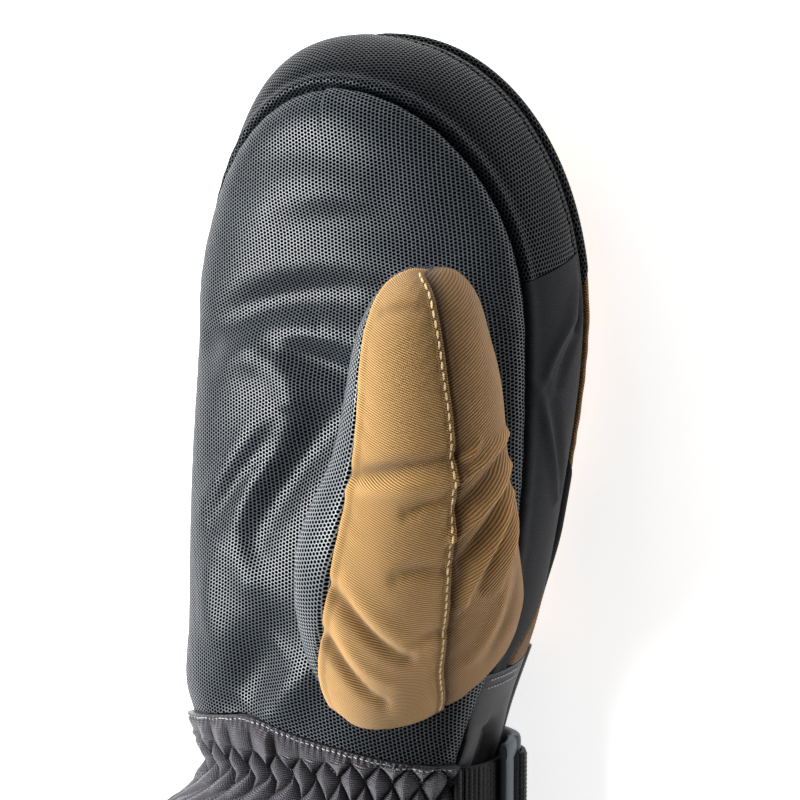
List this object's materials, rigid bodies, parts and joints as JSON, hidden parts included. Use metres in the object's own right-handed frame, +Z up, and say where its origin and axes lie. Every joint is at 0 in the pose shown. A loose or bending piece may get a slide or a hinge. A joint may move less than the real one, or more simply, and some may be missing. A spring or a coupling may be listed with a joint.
{
  "type": "gauntlet mitten",
  "caption": "Padded right-hand gauntlet mitten with a separate thumb, a gathered wrist, a buckled wrist strap and a flared cuff, lying on its back.",
  "frame": {"origin": "centre of the bounding box at the floor", "axes": "+X from the little-finger side to the thumb side, +Y from the cuff to the fingertips, +Z up, out of the palm"},
  "size_m": [0.1786, 0.318, 0.1077],
  "materials": {
    "palm_panel": "glossy dotted coated fabric, black",
    "fingertip_band": "glossy dotted coated fabric, black",
    "index_side_panel": "matt ripstop, navy-black",
    "pinky_side_panel": "matt ripstop, navy-black",
    "back_panel": "matt twill, caramel",
    "thumb_front_panel": "matt twill, caramel",
    "thumb_side_panel": "matt twill, caramel",
    "thumb_inner_panel": "glossy dotted coated fabric, black",
    "wrist_gather": "ribbed grey cloth, gathered",
    "wrist_back_panel": "ribbed grey cloth",
    "gauntlet_cuff": "ribbed grey cloth",
    "cuff_hem": "ribbed grey binding",
    "wrist_strap": "black webbing",
    "strap_tail": "black webbing",
    "strap_buckle": "satin slate plastic"
  },
  "bodies": {
    "root": {"palm_panel": "palm_panel", "fingertip_band": "fingertip_band", "index_side_panel": "index_side_panel", "pinky_side_panel": "pinky_side_panel", "back_panel": "back_panel", "thumb_front_panel": "thumb_front_panel", "thumb_side_panel": "thumb_side_panel", "thumb_inner_panel": "thumb_inner_panel", "wrist_gather": "wrist_gather", "wrist_back_panel": "wrist_back_panel", "gauntlet_cuff": "gauntlet_cuff", "cuff_hem": "cuff_hem", "wrist_strap": "wrist_strap", "strap_tail": "strap_tail", "strap_buckle": "strap_buckle"}
  },
  "joints": []
}
